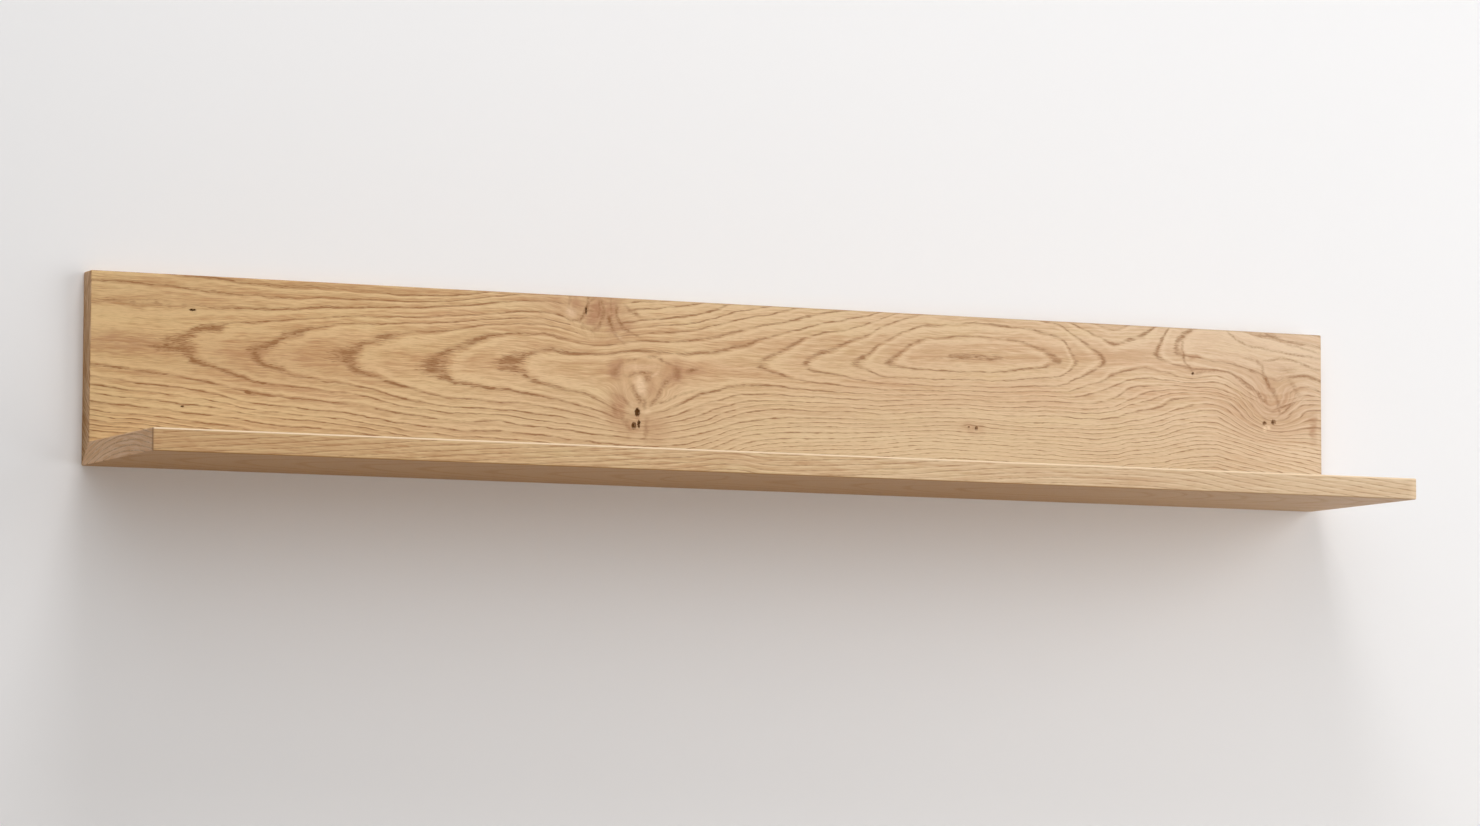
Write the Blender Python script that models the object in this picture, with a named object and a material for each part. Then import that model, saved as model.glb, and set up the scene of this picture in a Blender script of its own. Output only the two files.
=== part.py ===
"""Wall shelf of two solid oak boards joined by a mitre, with a tall back panel.

The back panel lies against the wall and the shelf board stands out from its foot.
Hidden in the mitre are eight pressed beech biscuits, and three steel keyhole plates
are let in flush in the back face, each held by two countersunk screws.

Metres, +Z up. The origin is the middle of the back face, in the plane of the wall.
+X runs along the shelf, +Y points into the wall, and the front faces -Y.
"""

import math

import bmesh
import bpy

# The shelf as a whole
SHELF_LENGTH = 1.500
SHELF_HEIGHT = 0.205
SHELF_DEPTH = 0.230
BOARD_THICKNESS = 0.024
EASED_RADIUS = 0.0015
EASED_STEPS = 3

# The gap that keeps touching pieces apart, and how far a cutter runs past what it cuts
SEAT_GAP = 0.0003
OVERRUN = 0.001

# The mitre, and where the biscuits lie across it, measured from its outer corner
MITRE_ANGLE = math.radians(45)
BISCUIT_PLACE_SHARE = 0.66

# Pressed beech biscuits, cut and slotted by a round blade
BISCUIT_COUNT = 8
BISCUIT_LENGTH = 0.056
BISCUIT_WIDTH = 0.023
BISCUIT_THICKNESS = 0.004
BISCUIT_END_DISTANCE = 0.060
BLADE_RADIUS = 0.050
SLOT_GLUE_ROOM = 0.0005
ARC_STEPS = 20

# Steel keyhole plates in the back face
HANGER_PLACE_SHARES = (-0.4, 0.0, 0.4)
HANGER_TOP_MARGIN = 0.015
PLATE_LENGTH = 0.060
PLATE_WIDTH = 0.024
PLATE_THICKNESS = 0.0025
PLATE_INSET = 0.0003
PLATE_EDGE_ROUND = 0.0003
PLATE_SCREW_SPACING = 0.044
KEYHOLE_ENTRY_RADIUS = 0.0055
KEYHOLE_SLOT_RADIUS = 0.003
KEYHOLE_DROP = 0.015
ROUND_STEPS = 24

# The room that is routed behind each plate for the head of a wall screw
HEAD_ROOM_RADIUS = 0.007
HEAD_ROOM_DEPTH = 0.008

# Countersunk wood screws that hold the plates
SCREW_HEAD_RADIUS = 0.004
SCREW_HEAD_LAND = 0.0003
SCREW_SHANK_RADIUS = 0.0018
SCREW_POINT_LENGTH = 0.004
SCREW_POINT_RADIUS = 0.0002
SCREW_WOOD_COVER = 0.0077

SHARP_ANGLE = math.radians(40)

# Worked out from the sizes above
FOOT_HEIGHT = -SHELF_HEIGHT / 2
MITRE_WIDTH = BOARD_THICKNESS / math.sin(MITRE_ANGLE)
HANGER_HEIGHT = SHELF_HEIGHT / 2 - HANGER_TOP_MARGIN - PLATE_LENGTH / 2
SCREW_LENGTH = BOARD_THICKNESS - PLATE_INSET - SCREW_WOOD_COVER


def clear_scene():
    """Remove whatever objects the file holds."""
    for old in list(bpy.data.objects):
        bpy.data.objects.remove(old, do_unlink=True)


def material(name, colour, roughness, metallic=0.0):
    """A plain finish: base colour, roughness and whether it is metal."""
    made = bpy.data.materials.new(name)
    made.use_nodes = True
    shader = made.node_tree.nodes["Principled BSDF"]
    shader.inputs["Base Color"].default_value = (*colour, 1.0)
    shader.inputs["Roughness"].default_value = roughness
    shader.inputs["Metallic"].default_value = metallic
    made.diffuse_color = (*colour, 1.0)
    return made


def mesh_from(bm, name):
    """Turn a bmesh into a mesh whose faces point outwards and whose round sides are smooth."""
    bmesh.ops.recalc_face_normals(bm, faces=bm.faces)
    mesh = bpy.data.meshes.new(name)
    bm.to_mesh(mesh)
    bm.free()
    mesh.shade_smooth()
    mesh.set_sharp_from_angle(angle=SHARP_ANGLE)
    return mesh


def add_object(name, mesh, parent, finish=None, location=(0, 0, 0), rotation=(0, 0, 0)):
    """Place a mesh in the scene as a named piece."""
    piece = bpy.data.objects.new(name, mesh)
    bpy.context.collection.objects.link(piece)
    piece.parent = parent
    piece.location = location
    piece.rotation_euler = rotation
    if finish and not mesh.materials:
        mesh.materials.append(finish)
    return piece


def add_empty(name, parent=None, location=(0, 0, 0)):
    """A named point that pieces are placed from."""
    empty = bpy.data.objects.new(name, None)
    bpy.context.collection.objects.link(empty)
    empty.parent = parent
    empty.location = location
    return empty


def add_cutter(name, mesh, parent, location=(0, 0, 0), rotation=(0, 0, 0)):
    """A shape that only takes wood or steel away."""
    cutter = add_object(name, mesh, parent, location=location, rotation=rotation)
    cutter.hide_render = True
    cutter.display_type = "WIRE"
    return cutter


def cut(piece, cutters):
    """Take each cutter's shape out of a piece."""
    for cutter in cutters:
        boolean = piece.modifiers.new(cutter.name, "BOOLEAN")
        boolean.operation = "DIFFERENCE"
        boolean.solver = "EXACT"
        boolean.object = cutter


def arc(centre, radius, start, end, steps):
    """Points along a round stretch of an outline, both ends included."""
    turn = (end - start) / steps
    return [
        (
            centre[0] + radius * math.cos(start + turn * step),
            centre[1] + radius * math.sin(start + turn * step),
        )
        for step in range(steps + 1)
    ]


def upright_slot(radius, low, high, steps=ROUND_STEPS):
    """Outline of a slot with round ends, between two heights on the same centre line."""
    half = steps // 2
    return (
        arc((0, high), radius, 0, math.pi, half)
        + arc((0, low), radius, math.pi, 2 * math.pi, half)
    )


def keyhole_outline(entry_radius, slot_radius, drop):
    """A round entry at the origin that opens upwards into a narrower slot."""
    meet = math.asin(slot_radius / entry_radius)
    entry_start = math.pi / 2 + meet
    entry_end = 5 * math.pi / 2 - meet
    return (
        arc((0, 0), entry_radius, entry_start, entry_end, ROUND_STEPS)
        + arc((0, drop), slot_radius, 0, math.pi, ROUND_STEPS // 2)
    )


def prism(outline, low, high, eased=0):
    """Extrude an outline in X and Z from one depth to another along Y.

    The rim at the higher depth, towards the wall, can be chamfered."""
    bm = bmesh.new()
    corners = [bm.verts.new((x, low, z)) for x, z in outline]
    face = bm.faces.new(corners)
    grown = bmesh.ops.extrude_face_region(bm, geom=[face])["geom"]
    moved = [item for item in grown if isinstance(item, bmesh.types.BMVert)]
    bmesh.ops.translate(bm, verts=moved, vec=(0, high - low, 0))
    if eased:
        far = set(moved)
        rim = [edge for edge in bm.edges if set(edge.verts) <= far]
        bmesh.ops.bevel(bm, geom=rim, offset=eased, segments=1, profile=0.5, affect="EDGES")
    return bm


def turned(profile, steps=ROUND_STEPS):
    """Spin a half profile of radius and depth about the Y axis into a closed round solid."""
    bm = bmesh.new()
    points = [bm.verts.new((radius, depth, 0)) for radius, depth in profile]
    edges = [bm.edges.new(pair) for pair in zip(points, points[1:])]
    bmesh.ops.spin(
        bm,
        geom=points + edges,
        cent=(0, 0, 0),
        axis=(0, 1, 0),
        angle=2 * math.pi,
        steps=steps,
        use_merge=True,
    )
    bmesh.ops.remove_doubles(bm, verts=bm.verts, dist=SCREW_POINT_RADIUS / ROUND_STEPS)
    return bm


def boards_in_one():
    """The L of both boards in one block, its outer edges eased as by a sander after gluing."""
    top = SHELF_HEIGHT / 2
    ledge = FOOT_HEIGHT + BOARD_THICKNESS
    inner_corner = (-BOARD_THICKNESS, ledge)
    section = [
        (0, FOOT_HEIGHT),
        (0, top),
        (-BOARD_THICKNESS, top),
        inner_corner,
        (-SHELF_DEPTH, ledge),
        (-SHELF_DEPTH, FOOT_HEIGHT),
    ]
    bm = bmesh.new()
    corners = [bm.verts.new((-SHELF_LENGTH / 2, y, z)) for y, z in section]
    end_face = bm.faces.new(corners)
    grown = bmesh.ops.extrude_face_region(bm, geom=[end_face])["geom"]
    moved = [item for item in grown if isinstance(item, bmesh.types.BMVert)]
    bmesh.ops.translate(bm, verts=moved, vec=(SHELF_LENGTH, 0, 0))
    bmesh.ops.recalc_face_normals(bm, faces=bm.faces)
    outer = [edge for edge in bm.edges if edge.is_convex]
    bmesh.ops.bevel(
        bm,
        geom=outer,
        offset=EASED_RADIUS,
        segments=EASED_STEPS,
        profile=0.5,
        affect="EDGES",
    )
    return bm


def board_mesh(name, side):
    """One board's share of the L: side is 1 behind the mitre and -1 in front of it."""
    bm = boards_in_one()
    across = (0, side * math.sin(MITRE_ANGLE), side * math.cos(MITRE_ANGLE))
    on_mitre = (0, across[1] * SEAT_GAP / 2, FOOT_HEIGHT + across[2] * SEAT_GAP / 2)
    everything = list(bm.verts) + list(bm.edges) + list(bm.faces)
    sawn = bmesh.ops.bisect_plane(
        bm,
        geom=everything,
        plane_co=on_mitre,
        plane_no=across,
        clear_inner=True,
    )["geom_cut"]
    rim = [item for item in sawn if isinstance(item, bmesh.types.BMEdge)]
    bmesh.ops.edgeloop_fill(bm, edges=rim)
    return mesh_from(bm, name)


def lens_outline(half_length, half_width):
    """The shape that a round blade leaves from both sides: two arcs, with their tips cut off."""
    setback = BLADE_RADIUS - half_width
    reach = min(half_length, math.sqrt(BLADE_RADIUS**2 - setback**2) - SEAT_GAP)
    swing = math.asin(reach / BLADE_RADIUS)
    upright = math.pi / 2
    upper = arc((0, -setback), BLADE_RADIUS, upright - swing, upright + swing, ARC_STEPS)
    lower = [(-x, -z) for x, z in upper]
    return upper + lower


def biscuit_mesh():
    outline = lens_outline(BISCUIT_LENGTH / 2, BISCUIT_WIDTH / 2)
    bm = prism(outline, -BISCUIT_THICKNESS / 2, BISCUIT_THICKNESS / 2)
    return mesh_from(bm, "biscuit")


def biscuit_slot_mesh():
    """The slot that the blade plunges in both boards, a little roomier than the biscuit."""
    half_width = BISCUIT_WIDTH / 2 + SLOT_GLUE_ROOM
    half_thickness = BISCUIT_THICKNESS / 2 + SEAT_GAP
    bm = prism(lens_outline(BLADE_RADIUS, half_width), -half_thickness, half_thickness)
    return mesh_from(bm, "biscuit_slot")


def add_biscuits(parent, finish):
    """Eight biscuits across the mitre, and the slots that hold them."""
    mesh = biscuit_mesh()
    slot_mesh = biscuit_slot_mesh()
    slots = []
    span = SHELF_LENGTH - 2 * BISCUIT_END_DISTANCE
    along_mitre = BISCUIT_PLACE_SHARE * MITRE_WIDTH
    y = -along_mitre * math.cos(MITRE_ANGLE)
    z = FOOT_HEIGHT + along_mitre * math.sin(MITRE_ANGLE)
    lean = MITRE_ANGLE - math.pi / 2
    for index in range(BISCUIT_COUNT):
        x = -span / 2 + span * index / (BISCUIT_COUNT - 1)
        number = index + 1
        place = {"location": (x, y, z), "rotation": (lean, 0, 0)}
        add_object(f"biscuit_{number}", mesh, parent, finish, **place)
        slots.append(add_cutter(f"slot_cutter_{number}", slot_mesh, parent, **place))
    return slots


def plate_blank_mesh():
    """The plate's round-ended outline in sheet steel, flush with the back face but for its inset."""
    end_height = PLATE_LENGTH / 2 - PLATE_WIDTH / 2
    outline = upright_slot(PLATE_WIDTH / 2, -end_height, end_height)
    bm = prism(outline, -PLATE_INSET - PLATE_THICKNESS, -PLATE_INSET, PLATE_EDGE_ROUND)
    return mesh_from(bm, "hanger_plate")


def keyhole_mesh():
    outline = keyhole_outline(KEYHOLE_ENTRY_RADIUS, KEYHOLE_SLOT_RADIUS, KEYHOLE_DROP)
    low = -PLATE_INSET - PLATE_THICKNESS - OVERRUN
    return mesh_from(prism(outline, low, OVERRUN), "keyhole")


def head_depth():
    """How far the countersunk head reaches below the plate's face, down to the shank."""
    return SCREW_HEAD_LAND + SCREW_HEAD_RADIUS - SCREW_SHANK_RADIUS


def screw_mesh():
    """Flat countersunk head, plain shank and a point, along -Y from the plate's face."""
    face = -PLATE_INSET
    profile = [
        (0, face),
        (SCREW_HEAD_RADIUS, face),
        (SCREW_HEAD_RADIUS, face - SCREW_HEAD_LAND),
        (SCREW_SHANK_RADIUS, face - head_depth()),
        (SCREW_SHANK_RADIUS, face - SCREW_LENGTH + SCREW_POINT_LENGTH),
        (SCREW_POINT_RADIUS, face - SCREW_LENGTH),
        (0, face - SCREW_LENGTH),
    ]
    return mesh_from(turned(profile), "hanger_screw")


def countersink_mesh():
    """The hole in the plate that seats the head, with the seat gap all round."""
    face = -PLATE_INSET
    back = face - PLATE_THICKNESS
    head = SCREW_HEAD_RADIUS + SEAT_GAP
    shank = SCREW_SHANK_RADIUS + SEAT_GAP
    profile = [
        (0, face + OVERRUN),
        (head, face + OVERRUN),
        (head, face - SCREW_HEAD_LAND),
        (shank, face - head_depth()),
        (shank, min(back, face - head_depth()) - OVERRUN),
        (0, min(back, face - head_depth()) - OVERRUN),
    ]
    return mesh_from(turned(profile), "countersink")


def pilot_hole_mesh():
    """The hole in the board below the plate that takes the shank and the point."""
    radius = SCREW_SHANK_RADIUS + SEAT_GAP
    bottom = -PLATE_INSET - SCREW_LENGTH - SEAT_GAP
    profile = [
        (0, OVERRUN),
        (radius, OVERRUN),
        (radius, bottom + SCREW_POINT_LENGTH),
        (SCREW_POINT_RADIUS + SEAT_GAP, bottom),
        (0, bottom),
    ]
    return mesh_from(turned(profile), "pilot_hole")


def plate_pocket_mesh():
    """The shallow recess in the back face that the plate drops into."""
    radius = PLATE_WIDTH / 2 + SEAT_GAP
    end_height = PLATE_LENGTH / 2 - PLATE_WIDTH / 2
    outline = upright_slot(radius, -end_height, end_height)
    floor = -PLATE_INSET - PLATE_THICKNESS - SEAT_GAP
    return mesh_from(prism(outline, floor, OVERRUN), "plate_pocket")


def head_room_mesh():
    """The deeper recess behind the keyhole, where the head of a wall screw travels."""
    outline = upright_slot(HEAD_ROOM_RADIUS, 0, KEYHOLE_DROP)
    floor = -PLATE_INSET - PLATE_THICKNESS - HEAD_ROOM_DEPTH
    return mesh_from(prism(outline, floor, OVERRUN), "head_room")


def add_hangers(parent, steel, screw_steel):
    """Three keyhole plates with their screws, and the recesses that they need in the board."""
    plate_mesh = plate_blank_mesh()
    hole_mesh = keyhole_mesh()
    screw = screw_mesh()
    sink = countersink_mesh()
    pilot = pilot_hole_mesh()
    pocket = plate_pocket_mesh()
    room = head_room_mesh()
    keyhole_place = (0, 0, -KEYHOLE_DROP / 2)
    recesses = []
    for index, share in enumerate(HANGER_PLACE_SHARES):
        number = index + 1
        group = add_empty(f"hanger_{number}", parent, (share * SHELF_LENGTH, 0, HANGER_HEIGHT))
        plate = add_object(f"hanger_plate_{number}", plate_mesh, group, steel)
        holes = [add_cutter(f"keyhole_cutter_{number}", hole_mesh, group, keyhole_place)]
        recesses.append(add_cutter(f"pocket_cutter_{number}", pocket, group))
        recesses.append(add_cutter(f"head_room_cutter_{number}", room, group, keyhole_place))
        for end, side in (("upper", 1), ("lower", -1)):
            place = (0, 0, side * PLATE_SCREW_SPACING / 2)
            add_object(f"hanger_screw_{number}_{end}", screw, group, screw_steel, place)
            holes.append(add_cutter(f"countersink_cutter_{number}_{end}", sink, group, place))
            recesses.append(add_cutter(f"pilot_cutter_{number}_{end}", pilot, group, place))
        cut(plate, holes)
    return recesses


def build_shelf():
    clear_scene()
    oak = material("oiled_oak", (0.62, 0.41, 0.23), 0.55)
    beech = material("pressed_beech", (0.66, 0.46, 0.30), 0.75)
    zinc = material("zinc_plated_steel", (0.62, 0.62, 0.60), 0.35, 1.0)
    yellow_zinc = material("yellow_zinc_steel", (0.68, 0.58, 0.34), 0.32, 1.0)

    shelf = add_empty("wall_shelf")
    back_panel = add_object("back_panel", board_mesh("back_panel", 1), shelf, oak)
    shelf_board = add_object("shelf_board", board_mesh("shelf_board", -1), shelf, oak)
    slots = add_biscuits(shelf, beech)
    recesses = add_hangers(shelf, zinc, yellow_zinc)
    cut(back_panel, slots + recesses)
    cut(shelf_board, slots)


build_shelf()
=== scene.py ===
# %% [markdown]
# # A straight oak wall shelf
#
# The shelf is two boards of solid oak. The back panel lies flat on the wall, and the shelf
# board stands out from its foot. They meet in a mitre, so no end grain shows along the front.
# Each piece has its shape and place from a imported model, and this script gives the pieces
# their looks: wood that was sawn from a log, metal fittings, a wall and soft light.

# %% Load the imported model, and keep its meshes where they lie
import math

import bmesh
import bpy
from mathutils import Matrix, Vector, noise as space_noise


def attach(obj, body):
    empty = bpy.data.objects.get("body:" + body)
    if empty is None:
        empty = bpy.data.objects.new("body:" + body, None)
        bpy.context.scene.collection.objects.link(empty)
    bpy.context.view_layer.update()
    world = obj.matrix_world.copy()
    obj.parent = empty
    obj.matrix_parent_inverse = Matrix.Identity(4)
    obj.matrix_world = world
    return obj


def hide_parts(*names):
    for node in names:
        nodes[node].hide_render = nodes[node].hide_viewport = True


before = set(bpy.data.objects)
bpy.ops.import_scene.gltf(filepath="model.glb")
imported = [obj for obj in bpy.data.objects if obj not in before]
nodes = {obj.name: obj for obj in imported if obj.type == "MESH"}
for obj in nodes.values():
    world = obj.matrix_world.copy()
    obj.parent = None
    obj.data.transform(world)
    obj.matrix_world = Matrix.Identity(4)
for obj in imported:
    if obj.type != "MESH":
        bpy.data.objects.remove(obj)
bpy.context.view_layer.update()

# %% [markdown]
# ## Sums on wires
#
# The grain of oak is a pattern in space, so its material is mostly arithmetic. A sum of Math
# nodes is long to write and hard to read. A small class can stand for one number on its way
# through the tree, and then `a * b + c` adds the nodes and links them. Named groups from the
# Add menu would do too, but they would hide the sum that this lesson wants to show. The same
# class serves Geometry Nodes, because they use the same Math nodes.

# %% One number on its way through a node tree
class Wire:
    def __init__(self, tree, socket):
        self.tree = tree
        self.socket = socket

    def through(self, operation, *others):
        node = self.tree.nodes.new("ShaderNodeMath")
        node.operation = operation
        for slot, value in zip(node.inputs, (self, *others)):
            feed(slot, value)
        return Wire(self.tree, node.outputs[0])

    def __add__(self, other):
        return self.through("ADD", other)

    def __sub__(self, other):
        return self.through("SUBTRACT", other)

    def __mul__(self, other):
        return self.through("MULTIPLY", other)

    def __truediv__(self, other):
        return self.through("DIVIDE", other)

    def __rsub__(self, other):
        return self * -1 + other

    __radd__ = __add__
    __rmul__ = __mul__

    def squared(self):
        return self * self

    def hill(self):
        """1 where the number is zero, and smoothly down to nothing on both sides."""
        return (self.squared() * -1).through("EXPONENT")

    def step(self, low, high):
        """0 below the low value, 1 above the high one, and an even curve between."""
        node = self.tree.nodes.new("ShaderNodeMapRange")
        node.interpolation_type = "SMOOTHSTEP"
        feed(node.inputs["Value"], self)
        node.inputs["From Min"].default_value = low
        node.inputs["From Max"].default_value = high
        return Wire(self.tree, node.outputs["Result"])

    def kept_between(self, low, high):
        return self.through("MAXIMUM", low).through("MINIMUM", high)


def feed(slot, value):
    """Link a wire or a socket to a slot, or write a plain value on it."""
    if isinstance(value, Wire):
        value.tree.links.new(value.socket, slot)
    elif isinstance(value, bpy.types.NodeSocket):
        slot.id_data.links.new(value, slot)
    else:
        slot.default_value = value


# %% Noise, drawn curves and blended colours
def noise(place, sizes, detail=0.0, offset=0.0, roughness=0.5):
    """Noise around zero whose blotches have the given sizes along, across and through."""
    tree = place[0].tree
    node = tree.nodes.new("ShaderNodeTexNoise")
    point = tree.nodes.new("ShaderNodeCombineXYZ")
    for slot, wire, size, start in zip(point.inputs, place, sizes, (offset, 0, 0)):
        feed(slot, wire * (1 / size) + start)
    feed(node.inputs["Vector"], point.outputs[0])
    node.inputs["Scale"].default_value = 1.0
    node.inputs["Detail"].default_value = detail
    node.inputs["Roughness"].default_value = roughness
    return Wire(tree, node.outputs[0]) - 0.5


def drawn_curve(wire, points, low, high, corners="AUTO"):
    """A curve through the given (place, value) pairs."""
    node = wire.tree.nodes.new("ShaderNodeFloatCurve")
    line = node.mapping.curves[0]
    reach = points[-1][0]
    shares = [(place / reach, (value - low) / (high - low)) for place, value in points]
    line.points[0].location = shares[0]
    line.points[1].location = shares[-1]
    for share in shares[1:-1]:
        line.points.new(*share)
    for point in line.points:
        point.handle_type = corners
    node.mapping.update()
    feed(node.inputs["Value"], wire * (1 / reach))
    return Wire(wire.tree, node.outputs[0]) * (high - low) + low


def blend(share, first, second):
    """Share 0 gives the first colour, share 1 the second."""
    node = share.tree.nodes.new("ShaderNodeMix")
    node.data_type = "RGBA"
    feed(node.inputs["Factor"], share)
    for slot, colour in ((node.inputs[6], first), (node.inputs[7], second)):
        feed(slot, (*colour, 1.0) if isinstance(colour, tuple) else colour)
    return node.outputs[2]


# %% A new material, and a bump for it
def new_material(name):
    """A material, its shader, and the object's own x, y and z as wires."""
    material = bpy.data.materials.new(name)
    material.use_nodes = True
    tree = material.node_tree
    coords = tree.nodes.new("ShaderNodeTexCoord")
    split = tree.nodes.new("ShaderNodeSeparateXYZ")
    feed(split.inputs[0], coords.outputs["Object"])
    place = tuple(Wire(tree, socket) for socket in split.outputs)
    return material, tree.nodes["Principled BSDF"], place


def add_bump(shader, height, strength, distance):
    """Let a wire raise the surface, by no more than the distance in metres."""
    bump = height.tree.nodes.new("ShaderNodeBump")
    bump.inputs["Strength"].default_value = strength
    bump.inputs["Distance"].default_value = distance
    feed(bump.inputs["Height"], height)
    feed(shader.inputs["Normal"], bump.outputs[0])


# %% [markdown]
# ## Oak, sawn from a log
#
# A tree lays down one ring a year round its heart. Each ring of oak starts with a band of
# wide pores, which shows as a dark line, and ends in dense pale wood. Where the saw leaves the
# heart's line the rings show as stripes, and where it runs along the rings they show as
# pointed arches. So the board needs no picture: one field, the distance from the log's heart,
# cut by the board's faces, gives the arches on the face and the curved rings on the ends.
# The heart's place along the board is drawn as two curves, and knots part the grain.

# %% The size of the panel, and the arches on its face
MM = 0.001
LENGTH, HEIGHT, THICK = 1.5, 0.205, 0.024
RING = 0.0055

# (place along the panel, how many rings deep the heart lies there): a whole number is an arch's tip
PANEL_TIPS = ((0, 18.55), (.105, 18.05), (.200, 17), (.299, 16), (.399, 15), (.494, 14), (.545, 13.62),
              (.68, 13.52), (.748, 13.44), (.786, 13), (.836, 12), (.903, 11), (.940, 10), (1.03, 9.1),
              (1.147, 10), (1.172, 11), (1.207, 12), (1.245, 12.6), (1.285, 12), (1.312, 11), (1.36, 10.4),
              (1.5, 10.2))
# (place along, height of the line that the tips lie on)
PANEL_HEART = ((0, .132), (.112, .130), (.192, .125), (.297, .125), (.397, .119), (.480, .125), (.633, .120),
               (.780, .137), (.903, .145), (1.03, .158), (1.147, .158), (1.207, .158), (1.245, .165),
               (1.285, .173), (1.312, .180), (1.36, .185), (1.5, .185))
print("arches and ovals from", len(PANEL_TIPS), "places along the heart")


# %% How the lines of the grain stray from straight ones
def straying(place, sways):
    """A sum of slow and quick noise, each with its blotch sizes, its start and its reach in metres."""
    return sum(noise(place, sizes, offset=start) * far for sizes, start, far in sways)


def oval(along, across, x, z, wide, tall):
    """1 in the middle of an oval given in millimetres, and smoothly down to nothing outside it."""
    sideways = (along - x * MM) * (1 / (wide * MM))
    upwards = (across - z * MM) * (1 / (tall * MM))
    return ((sideways.squared() + upwards.squared()) * -1).through("EXPONENT")


PANEL_SWAYS = (((.30, .12, .12), 3.1, .010), ((.055, .018, .018), 8.4, .0040),
               ((.014, .006, .006), 1.4, .0016))
# a finer wave, in the low left part only
RIPPLE_SIZES, RIPPLE_START, RIPPLE_REACH = (.034, .010, .010), 5.8, .0022
# all in mm: place along, height, reach along, reach up; then how much the grain parts there
PARTED = (
    (633, 112, 52, 30, .7), (577, 205, 45, 45, .6), (1042, 79, 20, 8, .5), (1328, 158, 18, 12, .6),
    (108, 168, 12, 6, .5))
# the same places and reaches, then how far the grain sinks there in mm
SUNK = ((634, 90, 36, 22, 19), (1432, 113, 40, 30, 32), (1480, 150, 30, 30, -8))
CLIMB_START, CLIMB = 1.36, .14


def panel_line(place, sway):
    """The height at which the line of grain through each place would lie if it ran straight."""
    along, across, _ = place
    line = across + sway
    for x, z, wide, tall, share in PARTED:
        line = line - (across - z * MM) * oval(along, across, x, z, wide, tall) * share
    for *lie, fall in SUNK:
        line = line + oval(along, across, *lie) * (fall * MM)
    return line + (along - CLIMB_START).through("MAXIMUM", 0.0) * CLIMB


# %% How many rings lie between each place and the heart
# near the top at the left and low at the right the rings run level, as if the saw kept one depth there
LEVEL_TOP_HEIGHT, LEVEL_TOP_RISE, LEVEL_TOP_SPREAD, LEVEL_TOP_READS = .150, .13, .014, .02
LEVEL_LOW_ALONG, LEVEL_LOW_UNDER, LEVEL_LOW_SHARE, LEVEL_LOW_READS = (1.12, 1.22), (.095, .150), .75, 1.12
# (place along, how much an arch leans, comes to a point, crowds low down, and smears at its tip)
LEAN = ((0, 0), (.65, 0), (.8, -.20), (1.2, -.20), (1.5, -.1))
POINTED = ((0, 0), (.70, 0), (.84, .014), (1.20, .014), (1.32, 0), (1.5, 0))
CROWDED = ((0, 40), (.3, 38), (.5, 30), (.7, 18), (.9, 8), (1.5, 5))
SMEARED = ((0, 1), (.55, 1), (.72, .35), (1.0, .4), (1.2, .8), (1.5, .8))
TIP_REACH = .016
WIDE_FROM, WIDE_RINGS = .02, 36
CROWDED_FROM, CROWDED_BEND = .034, .03
# each noise here and below: its blotch sizes, its detail, its start, and for some its roughness
UNEVEN, UNEVEN_FROM, UNEVEN_RINGS = ((2.6, 3.0, 3.0), 0, 1.7), (.018, .05), 1.5
DEPTH_WAVES, DEPTH_WAVE_REACH = ((.030, .02, .02), 0, 5.0), .0016


def panel_rings(place, line, sway, left_share):
    """The count of rings at each place, and how near it lies to the tip of an arch."""
    along, across, through = place
    held = along.through("MINIMUM", CLIMB_START)
    level_top = (across + sway * .5 - LEVEL_TOP_HEIGHT) / (along * LEVEL_TOP_RISE + LEVEL_TOP_SPREAD)
    level_top = level_top.step(0.0, 1.0) * left_share
    level_low = along.step(*LEVEL_LOW_ALONG) * (1 - across.step(*LEVEL_LOW_UNDER)) * LEVEL_LOW_SHARE
    read_at = held * (1 - level_top) + LEVEL_TOP_READS * level_top
    read_at = read_at - (read_at - LEVEL_LOW_READS) * level_low
    depth = drawn_curve(read_at, PANEL_TIPS, 9, 20) * RING
    depth = depth + noise(place, *DEPTH_WAVES) * DEPTH_WAVE_REACH + (THICK - through)
    off = line - drawn_curve(held, PANEL_HEART, .10, .20)
    below = (off * -1).through("MAXIMUM", 0.0)
    leaning = off + off.through("ABSOLUTE") * drawn_curve(along, LEAN, -.4, .4)
    pointed = leaning.through("ABSOLUTE") * drawn_curve(along, POINTED, 0, .02)
    rings = (leaning.squared() + pointed + depth.squared()).through("SQRT") * (1 / RING)
    crowded = drawn_curve(along, CROWDED, 0, 60)
    rings = rings - (off - WIDE_FROM).through("MAXIMUM", 0.0) * left_share * WIDE_RINGS
    uneven = noise((rings, along, through), *UNEVEN)
    rings = rings + uneven * off.through("ABSOLUTE").step(*UNEVEN_FROM) * UNEVEN_RINGS
    rings = rings + (below - CROWDED_FROM).through("SMOOTH_MAX", 0.0, CROWDED_BEND) * crowded
    return rings, (off * (1 / TIP_REACH)).hill() * drawn_curve(along, SMEARED, 0, 1)


# %% [markdown]
# ## Knots, holes and stains
#
# A real board also has marks that no count of rings makes: knots, worm holes, stains, and the
# fine splits round a knot. Small noise could scatter some, but these have to lie where the grain
# parts. So each mark is a round gradient that is moved, stretched and turned to its place, and
# a stroke is such a mark drawn out long. Where marks overlap only the strongest counts, because
# a sum would grow black. Each is weighed against the last as soon as it is made, because a long
# row of marks that waits for one choice at its end is too much for the renderer.

# %% Spots and strokes
# how far the gradient reaches for each spot, and for a stroke along and across its line
SPOT_REACH, STROKE_OVERLAP, STROKE_SPREAD = 1.8, 0.62, 1.3


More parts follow.
